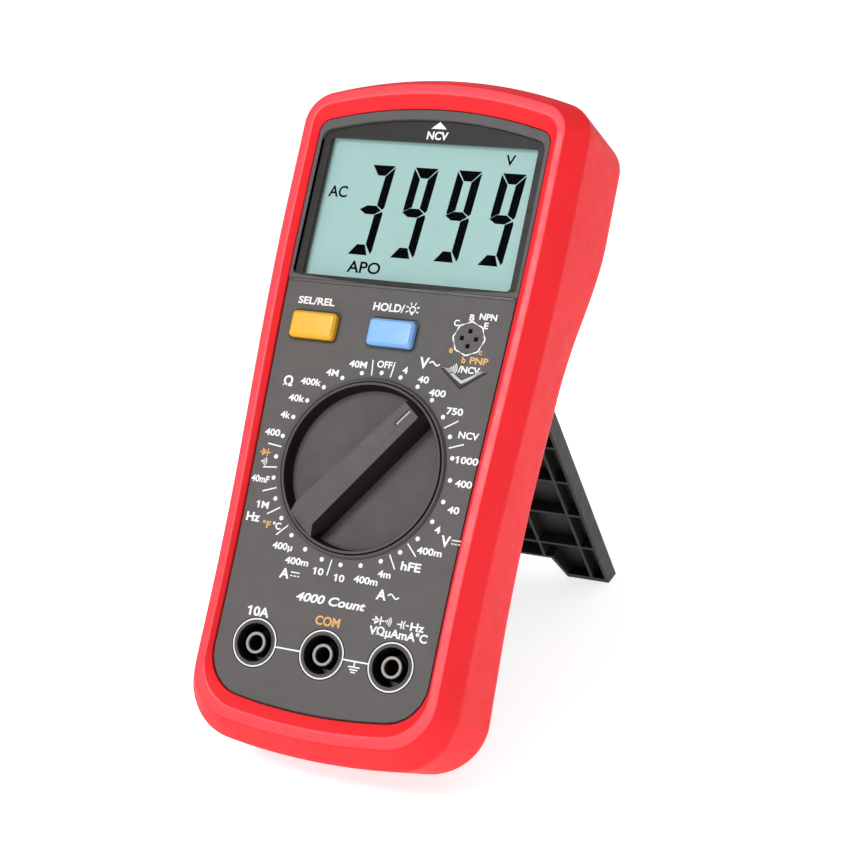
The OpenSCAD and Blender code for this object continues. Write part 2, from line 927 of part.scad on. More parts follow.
// A thin insulated wire through a list of points, as one mesh
module lead(points) {
    wire_r = 0.8;
    sides = 12;
    resize([0, 0, 0])
        for (i = [0:len(points) - 2]) {
            run = points[i + 1] - points[i];
            translate(points[i])
                rotate([0, acos(run[2] / norm(run)), atan2(run[1], run[0])])
                    cylinder(r = wire_r, h = norm(run), $fn = sides);
            if (i > 0)
                translate(points[i])
                    sphere(r = wire_r, $fn = sides);
        }
}
module battery_leads() {
    snap_x = battery_at[0] + battery_size[0] / 2 + 3.75;
    pad_x = 30;
    color("#a8262a")
        standing()
            for (v = [110, 116])
                lead([[snap_x, v, -24], [snap_x + 1.2, v, -24],
                    [pad_x, v - 1, -20], [pad_x, v - 1, board_under - 0.02]]);
}
module battery_door() {
    gap = 0.15;
    size = [2 * (door_half - gap), door_span[1] - door_span[0] - 2 * gap];
    grips = 6;
    grip_pitch = 2.2;
    head_seat = 1.2;
    color(dark)
        standing()
            difference() {
                at([0, (door_span[0] + door_span[1]) / 2])
                    plate(size, 1, hump_w, hump_w + door_thick - 0.05);
                at([0, door_screw_v]) {
                    rod(door_screw_r + 0.15, beyond, 0);
                    rod(2.5, beyond, hump_w + head_seat);
                }
                for (i = [0:grips - 1])
                    block([-8, 101 + grip_pitch * i, beyond], [8, 102 + grip_pitch * i, hump_w + 0.6]);
            }
}
module door_screw() {
    color(steel)
        standing()
            at([0, door_screw_v])
                screw(2.3, 1.1, door_screw_r, hump_w + 1.2, -26);
}

// The stand is drawn with X along its hinge, Y towards its feet and Z out of its smooth rear skin
module stand_prism(side, notch_edge, low, high) {
    reach = stand_long + 5;
    notch_top = stand_long - notch_deep;
    slope = (notch_half[1] - notch_half[0]) / notch_deep;
    far = notch_half[0] + notch_edge + slope * (reach - notch_top);
    near = notch_half[0] + notch_edge;
    half = [[near, notch_top - notch_edge], [far, reach],
        [stand_half - side, reach], [stand_half - side, 0]];
    translate([0, 0, low])
        linear_extrude(high - low)
            polygon(concat(half, [for (i = [3:-1:0]) [-half[i][0], half[i][1]]]));
}
module on_hinge() {
    standing()
        translate([0, hinge_v, -hinge_depth])
            rotate([180 + stand_angle, 0, 0])
                children();
}
module tilt_stand() {
    t = stand_thick / 2;
    first_rib = 8.3;
    foot_high = 1.5;
    color(black)
        difference() {
            union() {
                on_hinge() {
                    difference() {
                        stand_prism(0, 0, -t, t);
                        difference() {
                            stand_prism(rib, rib, -t - 1, t - stand_skin);
                            for (i = [-2:2])
                                block([i * rib_pitch_x - rib / 2, 0, -t],
                                    [i * rib_pitch_x + rib / 2, far_up, t]);
                            for (i = [0:4])
                                translate([0, first_rib + i * rib_pitch_y, 0])
                                    block([-wide, -rib / 2, -t], [wide, rib / 2, t]);
                        }
                    }
                    rotate([0, 90, 0])
                        cylinder(r = t, h = 2 * stand_half, center = true);
                    rotate([0, 90, 0])
                        cylinder(r = pin_r, h = 2 * (stand_half + pin_long), center = true);
                    block([-stand_half, -tail, 0.35], [stand_half, 0, t]);
                }
                intersection() {
                    on_hinge()
                        stand_prism(0, 0, -t, t);
                    block([-wide, -100, -10], [wide, far_up, foot_high]);
                }
            }
            block([-wide, -100, -20], [wide, far_up, 0]);
        }
}

holster();
front_case();
face_panel();
display_window();
lcd_glass();
lcd_frame();
backlight();
zebra_strip();
selector_knob();
selector_rotor();
wiper_contacts();
detent_balls();
detent_springs();
select_button();
hold_button();
button_pad();
transistor_socket();
socket_contacts();
alarm_lens();
alarm_led();
jack_block();
jack_sleeve_current();
jack_sleeve_common();
jack_sleeve_voltage();
main_board();
board_screws();
measuring_chip();
capacitors();
varistors();
trimmer();
current_shunt();
large_fuse();
small_fuse();
fuse_clips();
buzzer();
rear_case();
case_screws();
battery();
battery_snap();
battery_leads();
battery_door();
door_screw();
tilt_stand();
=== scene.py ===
import json
import math

import bmesh
import bpy
import numpy as np
from mathutils import Matrix, Vector
from mathutils.geometry import tessellate_polygon


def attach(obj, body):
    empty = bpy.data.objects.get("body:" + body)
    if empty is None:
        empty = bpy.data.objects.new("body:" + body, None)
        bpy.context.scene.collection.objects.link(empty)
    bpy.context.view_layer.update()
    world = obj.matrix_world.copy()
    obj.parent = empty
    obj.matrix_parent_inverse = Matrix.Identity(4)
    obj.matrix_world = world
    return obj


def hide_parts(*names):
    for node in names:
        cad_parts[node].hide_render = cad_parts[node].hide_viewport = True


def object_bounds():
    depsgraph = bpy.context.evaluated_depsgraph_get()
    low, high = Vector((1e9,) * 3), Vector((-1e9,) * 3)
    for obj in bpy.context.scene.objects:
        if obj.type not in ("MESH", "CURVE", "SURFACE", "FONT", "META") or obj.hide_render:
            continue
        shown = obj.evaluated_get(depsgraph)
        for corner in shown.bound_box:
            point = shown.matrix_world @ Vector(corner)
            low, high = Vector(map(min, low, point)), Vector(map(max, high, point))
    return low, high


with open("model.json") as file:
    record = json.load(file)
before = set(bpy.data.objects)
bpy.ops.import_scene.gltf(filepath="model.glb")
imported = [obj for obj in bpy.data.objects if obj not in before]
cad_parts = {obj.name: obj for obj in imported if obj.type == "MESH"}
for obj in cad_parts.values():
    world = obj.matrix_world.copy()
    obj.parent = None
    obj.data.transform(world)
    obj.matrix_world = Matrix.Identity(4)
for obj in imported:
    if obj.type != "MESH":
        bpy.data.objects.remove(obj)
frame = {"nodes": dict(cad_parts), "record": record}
CAD_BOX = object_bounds()
MM = 0.001

# ---------------------------------------------------------------- the case's own frame, in mm
# x to the right, v up along the case from the middle jack, w out of the face panel
MOUNTS = {m["name"]: m for m in frame["record"]["mounts"]}
COLLAR_TOP = -0.4                      # height at which the record puts the jack's mouth
OUT = Vector(MOUNTS["jack_common"]["axis"]).normalized()
RIGHT = Vector((1, 0, 0))
ALONG = OUT.cross(RIGHT)
ORIGIN = Vector(MOUNTS["jack_common"]["pos_m"]) - OUT * COLLAR_TOP * MM
CASE = np.array([RIGHT, ALONG, OUT]) * MM
JACKS = (-19.8, 0.0, 19.8)
SOCKET = (22.6, 85.8)
DIAL_V = 48.8
POSITIONS = 28                         # places that the selector can point at
POINTER = -360 / POSITIONS * 3         # at rest it is three places to the right of the top


def to_row(points):
    """Points of the case's frame in mm, placed in the row's frame in metres."""
    return np.asarray(points, float) @ CASE + np.array(ORIGIN)


# ---------------------------------------------------------------- camera
# its place and aim are in the case's frame, found by laying the render over the photo's view
camera = bpy.data.objects.new("camera", bpy.data.cameras.new("camera"))
bpy.context.scene.collection.objects.link(camera)
bpy.context.scene.camera = camera
camera.data.sensor_width = 36
camera.data.lens = 88.2
camera.data.clip_start = 0.01
look = Vector((-0.4393, 0.1643, -0.8832)).normalized()
up = Vector((-0.1121, 0.9654, 0.2354))
up = (up - look * up.dot(look)).normalized()
side = look.cross(up)


def direction(v):
    return RIGHT * v[0] + ALONG * v[1] + OUT * v[2]


basis = Matrix((direction(side), direction(up), -direction(look))).transposed().to_4x4()
camera.matrix_world = Matrix.Translation(Vector(to_row((248.92, -25.24, 469.52)))) @ basis


# ---------------------------------------------------------------- materials
def srgb(r, g, b):
    return tuple(((c / 255 + 0.055) / 1.055) ** 2.4 if c > 10 else c / 3294.6 for c in (r, g, b)) + (1.0,)


class Nodes:
    """Short forms for building one node tree."""

    def __init__(self, name):
        self.mat = bpy.data.materials.new(name)
        self.mat.use_nodes = True
        self.tree = self.mat.node_tree
        self.shader = self.tree.nodes["Principled BSDF"]
        self.coords = self.add("ShaderNodeTexCoord").outputs["Object"]

    def add(self, kind, **values):
        node = self.tree.nodes.new(kind)
        for key, value in values.items():
            if key in node.inputs:
                node.inputs[key].default_value = value
            else:
                setattr(node, key, value)
        return node

    def link(self, a, b):
        self.tree.links.new(a, b)

    def noise(self, scale, detail=3.0, rough=0.55, stretch=None):
        n = self.add("ShaderNodeTexNoise", Scale=scale, Detail=detail, Roughness=rough)
        if stretch:
            m = self.add("ShaderNodeMapping", Scale=stretch)
            self.link(self.coords, m.inputs["Vector"])
            self.link(m.outputs["Vector"], n.inputs["Vector"])
        else:
            self.link(self.coords, n.inputs["Vector"])
        return n.outputs["Fac"]

    def span(self, value, low, high, a=0.3, b=0.7):
        n = self.add("ShaderNodeMapRange", **{"From Min": a, "From Max": b, "To Min": low, "To Max": high})
        self.link(value, n.inputs["Value"])
        return n.outputs["Result"]

    def mix(self, factor, a, b, blend="MIX"):
        n = self.add("ShaderNodeMix", data_type="RGBA", blend_type=blend)
        for value, socket in ((factor, n.inputs[0]), (a, n.inputs[6]), (b, n.inputs[7])):
            if hasattr(value, "is_output"):
                self.link(value, socket)
            else:
                socket.default_value = value
        return n.outputs[2]


def shade(color, factor):
    return tuple(min(1, c * factor) for c in color[:3]) + (1.0,)


def plastic(name, color, rough=0.5, grain=2600.0, depth=0.06, mottle=0.07, wear=0.12, specular=0.5, **extra):
    """Moulded plastic or rubber: fine moulded grain, cloudy colour, uneven gloss, paler worn edges."""
    n = Nodes(name)
    cloud = n.noise(90.0, 4.0)
    speck = n.noise(1500.0, 2.0)
    tone = n.mix(n.span(cloud, 0.0, 1.0), shade(color, 1 - mottle), shade(color, 1 + mottle))
    tone = n.mix(n.span(speck, 0.0, 0.35), tone, shade(color, 1 - 1.5 * mottle))
    edge = n.add("ShaderNodeNewGeometry").outputs["Pointiness"]
    worn = n.mix(n.span(edge, 0.0, wear, 0.52, 0.62), tone, shade(color, 1.9))
    n.link(worn, n.shader.inputs["Base Color"])
    n.link(n.span(n.noise(240.0, 3.0), rough - 0.06, rough + 0.06), n.shader.inputs["Roughness"])
    bump = n.add("ShaderNodeBump", Strength=depth, Distance=0.0002)
    n.link(n.noise(grain, 2.0), bump.inputs["Height"])
    n.link(bump.outputs["Normal"], n.shader.inputs["Normal"])
    n.shader.inputs["Specular IOR Level"].default_value = specular
    for key, value in extra.items():
        n.shader.inputs[key.replace("_", " ")].default_value = value
    return n.mat


def metal(name, color, rough=0.3, stretch=(1, 1, 12)):
    n = Nodes(name)
    streak = n.noise(900.0, 3.0, stretch=stretch)
    tarnish = n.noise(160.0, 4.0)
    tone = n.mix(n.span(tarnish, 0.0, 0.6), color, shade(color, 0.6))
    n.link(tone, n.shader.inputs["Base Color"])
    n.link(n.span(streak, rough - 0.08, rough + 0.12), n.shader.inputs["Roughness"])
    n.shader.inputs["Metallic"].default_value = 1.0
    bump = n.add("ShaderNodeBump", Strength=0.08, Distance=0.0001)
    n.link(streak, bump.inputs["Height"])
    n.link(bump.outputs["Normal"], n.shader.inputs["Normal"])
    return n.mat


def ink(name, color, rough=0.45, specular=0.1):
    """Screen-printed ink: slightly uneven cover and a faint dot grain."""
    n = Nodes(name)
    cover = n.noise(2200.0, 3.0)
    n.link(n.mix(n.span(cover, 0.0, 0.5), color, shade(color, 0.86)), n.shader.inputs["Base Color"])
    n.link(n.span(n.noise(500.0), rough - 0.05, rough + 0.1), n.shader.inputs["Roughness"])
    n.shader.inputs["Specular IOR Level"].default_value = specular
    return n.mat


def board(name):
    """Green lacquer over copper tracks."""
    n = Nodes(name)
    cells = n.add("ShaderNodeTexBrick", Scale=160.0)
    cells.inputs["Color1"].default_value = srgb(20, 92, 48)
    cells.inputs["Color2"].default_value = srgb(16, 78, 40)
    cells.inputs["Mortar"].default_value = srgb(60, 135, 70)
    n.link(n.coords, cells.inputs["Vector"])
    lacquer = n.mix(n.span(n.noise(70.0), 0.0, 0.4), cells.outputs["Color"], srgb(12, 60, 32))
    n.link(lacquer, n.shader.inputs["Base Color"])
    n.link(n.span(n.noise(300.0), 0.25, 0.45), n.shader.inputs["Roughness"])
    return n.mat


def glazing(name, color, alpha, rough=0.06):
    """Clear plastic: a faint tint with fine wiping marks in its gloss."""
    n = Nodes(name)
    n.link(n.mix(n.span(n.noise(60.0), 0.0, 1.0), color, shade(color, 1.15)), n.shader.inputs["Base Color"])
    n.link(n.span(n.noise(400.0, 2.0, stretch=(1, 6, 1)), rough, rough + 0.08), n.shader.inputs["Roughness"])
    n.shader.inputs["Alpha"].default_value = alpha
    n.shader.inputs["Specular IOR Level"].default_value = 0.2
    return n.mat


def screen(name):
    """Liquid crystal display: pale green with a soft cloud and a very fine polariser grain. It glows with its own
    colour and its base colour is darkened: painted light that evens out the border's shade on it.
    """
    n = Nodes(name)
    cloud = n.mix(n.span(n.noise(18.0, 2.0), 0.0, 1.0), srgb(160, 201, 197), srgb(170, 209, 205))
    grain = n.mix(n.span(n.noise(5200.0, 1.0), 0.0, 0.5), cloud, srgb(161, 198, 194))
    # darker base colour and a glow of the same colour: painted light, not a lamp
    n.link(n.mix(0.4, grain, (0.0, 0.0, 0.0, 1.0)), n.shader.inputs["Base Color"])
    n.link(grain, n.shader.inputs["Emission Color"])
    n.shader.inputs["Emission Strength"].default_value = 0.33
    n.link(n.span(n.noise(300.0), 0.5, 0.6), n.shader.inputs["Roughness"])
    return n.mat


RED = plastic("boot_rubber", srgb(246, 40, 47), 0.55, 1800.0, 0.05, 0.035, 0.1, specular=0.18)
# a paler copy of the boot's red: painted highlight along the ridge, with real extra gloss as well
RED_RIDGE_HIGHLIGHT = plastic("boot_ridge_painted_highlight", srgb(245, 70, 80), 0.4, 1800.0, 0.05, 0.03, 0.06, specular=0.35)
PANEL = plastic("panel_plastic", srgb(91, 88, 87), 0.6, 2600.0, 0.12, 0.05, 0.05, specular=0.3)
SHELL_DARK = plastic("case_plastic", srgb(62, 61, 62), 0.55, 2200.0, 0.14, 0.07, 0.1)
KNOB = plastic("knob_plastic", srgb(92, 86, 86), 0.5, 2600.0, 0.12, 0.06, 0.08, specular=0.2)
# a near-black copy of the knob's plastic: painted shade for its steep walls
KNOB_SIDE_SHADE = plastic("knob_side_painted_shade", srgb(34, 30, 30), 0.6, 2600.0, 0.1, 0.08, 0.03, specular=0.12)
BEZEL = plastic("bezel_plastic", srgb(70, 68, 68), 0.42, 2600.0, 0.06, 0.05, 0.1)
STAND = plastic("stand_plastic", srgb(36, 35, 33), 0.5, 1800.0, 0.16, 0.08, 0.12, specular=0.3)
YELLOW = plastic("yellow_plastic", srgb(244, 180, 32), 0.4, 2400.0, 0.05, 0.03, 0.05)
BLUE = plastic("blue_plastic", srgb(128, 182, 243), 0.4, 2400.0, 0.05, 0.03, 0.05)
BLACK = plastic("black_plastic", srgb(22, 21, 22), 0.45, 2400.0, 0.08, 0.1, 0.1)
COLLAR = plastic("collar_plastic", srgb(162, 158, 156), 0.38, 2400.0, 0.05, 0.05, 0.1)
WHITE = plastic("white_plastic", srgb(232, 230, 224), 0.45, 2000.0, 0.06, 0.04, 0.03)
BORDER = plastic("window_print", srgb(44, 43, 43), 0.4, 3000.0, 0.01, 0.06, 0.02, specular=0.15)
RIM = plastic("rim_plastic", srgb(80, 74, 74), 0.5, 2600.0, 0.06, 0.05, 0.1, specular=0.2)
SILICONE = plastic("silicone", srgb(118, 122, 128), 0.6, 1500.0, 0.08, 0.06, 0.03)
PINK = plastic("conductive_rubber", srgb(214, 140, 158), 0.6, 1500.0, 0.08, 0.06, 0.03)
CHIP = plastic("chip_moulding", srgb(30, 30, 32), 0.5, 3000.0, 0.15, 0.1, 0.05)
CAN = plastic("can_sleeve", srgb(38, 56, 107), 0.3, 1500.0, 0.03, 0.05, 0.05)
DISC = plastic("dipped_disc", srgb(58, 111, 176), 0.4, 900.0, 0.15, 0.07, 0.05)
TUBE = plastic("fuse_tube", srgb(226, 222, 212), 0.35, 1500.0, 0.05, 0.04, 0.03)
WRAP = plastic("battery_wrap", srgb(68, 72, 76), 0.3, 1200.0, 0.03, 0.05, 0.1)
WIRE = plastic("wire_cover", srgb(168, 38, 42), 0.4, 1500.0, 0.05, 0.05, 0.05)
LAMP = plastic("lamp", srgb(200, 40, 32), 0.25, 1500.0, 0.02, 0.04, 0.02)
STEEL = metal("plated_steel", srgb(196, 198, 204), 0.3)
BRASS = metal("brass", srgb(214, 174, 88), 0.28)
COPPER = metal("copper_alloy", srgb(190, 118, 66), 0.35)
INK_WHITE = ink("ink_white", srgb(250, 250, 250))
INK_GOLD = ink("ink_gold", srgb(232, 180, 112))
INK_BLACK = ink("ink_black", srgb(3, 3, 4), 0.7, 0.0)
# dark ink used as painted shade of a groove round the jacks
GROOVE_SHADE_INK = ink("painted_groove_shade", srgb(40, 39, 40))
WING = plastic("chevron_plastic", srgb(152, 148, 146), 0.4, 2400.0, 0.06, 0.12, 0.05)
LENS = plastic("lens_plastic", srgb(176, 172, 168), 0.3, 2400.0, 0.05, 0.05, 0.05)
# the display's material, with painted glow
LCD_PAINTED_GLOW = screen("lcd_screen_painted_glow")
PANE = glazing("window_pane", srgb(90, 96, 96), 0.02)
BOARD = board("circuit_board")

CAD_LOOK = {
    "front_case": PANEL, "face_panel": PANEL, "lcd_frame": WHITE, "backlight": WHITE, "zebra_strip": PINK,
    "selector_rotor": WHITE, "wiper_contacts": BRASS, "detent_balls": STEEL, "detent_springs": STEEL,
    "button_pad": SILICONE, "socket_contacts": BRASS, "alarm_led": LAMP, "jack_sleeve_current": BRASS,
    "jack_sleeve_common": BRASS, "jack_sleeve_voltage": BRASS, "main_board": BOARD, "board_screws": STEEL,
    "measuring_chip": CHIP, "capacitors": CAN, "varistors": DISC, "trimmer": DISC, "current_shunt": COPPER,
    "large_fuse": TUBE, "small_fuse": TUBE, "fuse_clips": STEEL, "buzzer": BRASS, "rear_case": SHELL_DARK,
    "case_screws": STEEL, "battery": WRAP, "battery_snap": BLACK, "battery_leads": WIRE,
    "battery_door": SHELL_DARK, "door_screw": STEEL, "tilt_stand": STAND,
}
for node, look_material in CAD_LOOK.items():
    slots = frame["nodes"][node].data.materials
    slots.clear()
    slots.append(look_material)


# ---------------------------------------------------------------- mesh building
def make(name, verts, faces, material, body="case", replaces=(), sharp=32.0, slot=None, row=False):
    """One piece from points in the case's frame: welded, turned outwards, smooth with crisp edges."""
    mesh = bpy.data.meshes.new(name)
    points = np.asarray(verts, float) if row else to_row(verts)
    mesh.from_pydata(points.tolist(), [], [list(f) for f in faces])
    work = bmesh.new()
    work.from_mesh(mesh)
    bmesh.ops.remove_doubles(work, verts=work.verts, dist=2e-7)
    bmesh.ops.recalc_face_normals(work, faces=work.faces)
    work.to_mesh(mesh)
    work.free()
    mesh.shade_smooth()
    mesh.set_sharp_from_angle(angle=math.radians(sharp))
    mesh.materials.append(material)
    thing = bpy.data.objects.new(name, mesh)
    bpy.context.scene.collection.objects.link(thing)
    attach(thing, body)
    if replaces:
        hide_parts(*replaces)
    return thing


def skin(rings, caps=(True, True), loop=False):
    """Quads between rings of equal length, with a face across each end."""
    count = len(rings[0])
    verts = [p for ring in rings for p in ring]
    faces = []
    for i in range(len(rings) if loop else len(rings) - 1):
        a, b = i * count, (i + 1) % len(rings) * count
        faces += [(a + j, a + (j + 1) % count, b + (j + 1) % count, b + j) for j in range(count)]
    if not loop and caps[0]:
        faces.append(tuple(range(count))[::-1])
    if not loop and caps[1]:
        faces.append(tuple((len(rings) - 1) * count + j for j in range(count)))
    return verts, faces


def soften(rings, setback, steps=4, loop=False):
    """Replaces each corner between rings by a small curve that starts setback mm away."""
    rings = [np.asarray(r, float) for r in rings]
    setback = list(setback)
    out = []
    n = len(rings)
    for i, ring in enumerate(rings):
        if setback[i] <= 0 or (not loop and i in (0, n - 1)):
            out.append(ring)
            continue
        before, after = rings[i - 1], rings[(i + 1) % n]
        ends = []
        for other in (before, after):
            gap = np.linalg.norm(other - ring, axis=1, keepdims=True)
            ends.append(ring + (other - ring) * np.minimum(setback[i] / np.maximum(gap, 1e-9), 0.45))
        for k in range(steps + 1):
            t = k / steps
            out.append((1 - t) ** 2 * ends[0] + 2 * t * (1 - t) * ring + t * t * ends[1])
    return out


def joined(parts):
    """Several meshes of (points, faces) as one."""
    verts, faces = [], []
    for v, f in parts:
        start = len(verts)
        verts += [tuple(p) for p in v]
        faces += [tuple(i + start for i in face) for face in f]
    return verts, faces


def flat(loops, w):
    """A flat face at height w with holes: the first loop is its outside."""
    points = [p for loop in loops for p in loop]
    triangles = tessellate_polygon([[Vector((x, y, 0)) for x, y in loop] for loop in loops])
    return [(x, y, w) for x, y in points], [tuple(t) for t in triangles]


def slab(loops, low, high):
    """A plate with holes and straight walls."""
    parts = [flat(loops, high), flat(loops, low)]
    for loop in loops:
        parts.append(skin([[(x, y, low) for x, y in loop], [(x, y, high) for x, y in loop]], (False, False)))
    return joined(parts)


def ring_at(loop, w):
    return np.array([(x, y, w) for x, y in loop])


def rounded(cx, cy, sx, sy, r, steps=6):
    """Outline of a rectangle with rounded corners."""
    out = []
    for ax, ay, start in ((1, 1, 0), (-1, 1, 90), (-1, -1, 180), (1, -1, 270)):
        for k in range(steps + 1):
            a = math.radians(start + 90 * k / steps)
            out.append((cx + ax * (sx / 2 - r) + r * math.cos(a), cy + ay * (sy / 2 - r) + r * math.sin(a)))
    return out


def circle(cx, cy, r, steps=64, lobes=0, swell=0.0):
    """Outline of a circle, or of one whose edge waves in and out by swell, lobes times round."""
    out = []
    for k in range(steps):
        a = 2 * math.pi * k / steps
        q = r + swell * math.cos(lobes * a)
        out.append((cx + q * math.sin(a), cy + q * math.cos(a)))
    return out


def lathe(profile, cx, cy, steps=96, rounding=0.0):
    """Turns a profile of (radius, w) about an axis that stands out of the panel."""
    rings = [np.array([(cx + r * math.cos(a), cy + r * math.sin(a), w)
             for a in np.linspace(0, 2 * math.pi, steps, endpoint=False)]) for r, w in profile]
    if rounding:
        rings = soften(rings, [rounding] * len(rings), 3)
    return skin(rings, (False, False))


# ---------------------------------------------------------------- outlines, as the part draws them
# each is top, bottom, half width at the top and bottom, then the radius of the crown and of the
# corners, also at the top and bottom
SHELL = np.array([157.1, -26.7, 42.5, 38.7, 130, 186, 9.5, 16])
BODY = np.array([157.1, -26.7, 43.6, 38.7, 130, 186, 10.5, 16])
RIDGE_OUTER = np.array([153.7, -21.95, 38.1, 35, 125, 170, 8, 13.5])
RIDGE_INNER = np.array([151, -19.25, 36.1, 32.6, 122, 155, 5.5, 12.5])
PANEL_EDGE = np.array([147, -15.75, 34.2, 31.6, 120, 147, 4, 11.5])
WAIST = (10.0, 120.0)                  # the width changes between these places along the case
STEP = (77.7, 123.4)                   # and the depth between these
BACK = (29.0, 36.5)                    # depth below the step and above it
# the sides' swell at the back, as a share of the width, at places along the case
SWELL_AT = (-27, -10, 15, 50, 95, 120, 158)
SWELL = (0.024, 0.04, 0.015, -0.012, -0.011, 0.009, 0.004)
RIDGE_HIGH = 1.5                       # the boot's ridge above the panel


def smooth(t):
    t = min(1.0, max(0.0, t))
    return t * t * (3 - 2 * t)


def inset(o, d):
    """An outline d mm further in all round."""
    return o + np.array([-d, d, -d, -d, -d, -d, -d, -d])


def half_at(o, v):
    """Half the width of an outline's side at v."""
    return o[3] + (o[2] - o[3]) * smooth((v - WAIST[0]) / (WAIST[1] - WAIST[0]))


def arc(cx, cy, r, a0, a1, n):
    return [(cx + r * math.cos(a), cy + r * math.sin(a)) for a in np.linspace(a0, a1, n, endpoint=False)]


def half_outline(o, crown=16, corner=14, sides=44):
    """The right half of an outline, from the middle of its bottom to the middle of its top."""
    top, bottom, half_top, half_low, crown_top, crown_low, corner_top, corner_low = o
    low_c = bottom + crown_low
    low_x = half_low - corner_low
    low_y = low_c - math.sqrt((crown_low - corner_low) ** 2 - low_x ** 2)
    low_a = math.atan2(low_y - low_c, low_x)
    top_c = top - crown_top
    top_x = half_top - corner_top
    top_y = top_c + math.sqrt((crown_top - corner_top) ** 2 - top_x ** 2)
    top_a = math.atan2(top_y - top_c, top_x)
    return (arc(0, low_c, crown_low, -math.pi / 2, low_a, crown)
            + arc(low_x, low_y, corner_low, low_a, 0, corner)
            + [(half_at(o, v), v) for v in np.linspace(low_y, top_y, sides, endpoint=False)]
            + arc(top_x, top_y, corner_top, 0, top_a, corner)
            + arc(0, top_c, crown_top, top_a, math.pi / 2, crown)
            + [(0, top)])


def outline(o):
    right = half_outline(o)
    return right + [(-x, y) for x, y in right[-2:0:-1]]


def front_ring(o, w):
    return ring_at(outline(o), w)


def back_ring(o, raise_by, swell=False):
    """An outline laid on the stepped back, raised towards the front."""
    points = outline(o)
    depth = [BACK[0] + (BACK[1] - BACK[0]) * smooth((v - STEP[0]) / (STEP[1] - STEP[0])) for _, v in points]
    widen = [1 + (np.interp(v, SWELL_AT, SWELL) if swell else 0) for _, v in points]
    return np.array([(x * k, v, raise_by - q) for (x, v), q, k in zip(points, depth, widen)])


# ---------------------------------------------------------------- protective boot
EDGE_LOW = -1.5                        # foot of the boot's inner edge, beside the panel
BEVEL_LOW = -5.0                       # where the bevel meets the side wall
DRAFT = 1.3                            # how far the side wall leans in towards the back
BACK_ROUND = 4.5                       # radius of the edge round the back
MID = BACK_ROUND * (1 - math.cos(math.pi / 4))
LIP = 7                                # from the body's outline to the opening in the back
LIP_THICK = 2.4
WALL = 4.2                             # from the body's outline to the wall's inner face
HIGHLIGHT_BAND = 0.32                      # faces this close to the top get a paler red, a painted highlight along the ridge
# the corners of the boot's section, each with how far its rounding reaches
corners = [
    (front_ring(PANEL_EDGE, EDGE_LOW), 0),
    (front_ring(PANEL_EDGE, 0.2), 0.25),
    (front_ring(RIDGE_INNER, RIDGE_HIGH), 0.35),
    (front_ring(RIDGE_OUTER, RIDGE_HIGH - 0.2), 0.45),
    (front_ring(SHELL, BEVEL_LOW), 0.9),
    (back_ring(inset(SHELL, DRAFT), BACK_ROUND, True), 1.6),
    (back_ring(inset(SHELL, DRAFT + MID), MID, True), 1.6),
    (back_ring(inset(SHELL, DRAFT + BACK_ROUND), 0, True), 0.5),
    (back_ring(inset(BODY, LIP), 0), 0.4),
    (back_ring(inset(BODY, LIP), LIP_THICK), 0.2),
    (back_ring(inset(BODY, WALL), LIP_THICK), 0),
    (front_ring(inset(BODY, WALL), EDGE_LOW), 0),
]
rings = soften([c[0] for c in corners], [c[1] for c in corners], 5, loop=True)
verts, faces = skin(rings, loop=True)
points = to_row(verts)
points[:, 2] = np.maximum(points[:, 2], 0)
boot = make("boot", points, faces, RED, replaces=("holster",), sharp=60, slot="boot_red", row=True)
# the ridge's top faces take the paler red: painted highlight
boot.data.materials.append(RED_RIDGE_HIGHLIGHT)
for face in boot.data.polygons:
    heights = [(boot.data.vertices[i].co - ORIGIN).dot(OUT) / MM for i in face.vertices]
    if min(heights) > RIDGE_HIGH - HIGHLIGHT_BAND:
        face.material_index = 1


# ---------------------------------------------------------------- display window
def upper_edge(o, low_v, sides=24, corner=12, crown=16):
    """Left foot, over the top, to the right foot of an outline that is cut off at low_v."""
    top, _, half_top, _, crown_top, _, corner_top, _ = o
    top_c = top - crown_top
    top_x = half_top - corner_top
    top_y = top_c + math.sqrt((crown_top - corner_top) ** 2 - top_x ** 2)
    top_a = math.atan2(top_y - top_c, top_x)
    right = ([(half_at(o, v), v) for v in np.linspace(low_v, top_y, sides, endpoint=False)]
             + arc(top_x, top_y, corner_top, 0, top_a, corner)
             + arc(0, top_c, crown_top, top_a, math.pi / 2, crown) + [(0, top)])
    return right + [(-x, y) for x, y in right[-2::-1]]


WINDOW_LOW = 97.6
WINDOW = np.array([144.1, WINDOW_LOW, 32.9, 32.9, 118, 400, 3, 1])
edge = upper_edge(inset(PANEL_EDGE, 0.3), WINDOW_LOW)
line = upper_edge(WINDOW, WINDOW_LOW)
crest = upper_edge(inset(WINDOW, -0.5), WINDOW_LOW)
profile = [ring_at(edge, -0.4), ring_at(edge, -0.1), ring_at(crest, -0.15), ring_at(line, 0.05),
           ring_at(line, -2.0)]
profile = soften(profile, [0, 0.1, 0.1, 0.15, 0], 4)
count = len(edge)
verts = [p for r in profile for p in r]
faces = [(i * count + j, i * count + j + 1, (i + 1) * count + j + 1, (i + 1) * count + j)
         for i in range(len(profile) - 1) for j in range(count - 1)]
for end in (0, count - 1):
    faces.append(tuple(i * count + end for i in range(len(profile))))
make("window_rim", verts, faces, RIM, sharp=50, slot="panel_grey")

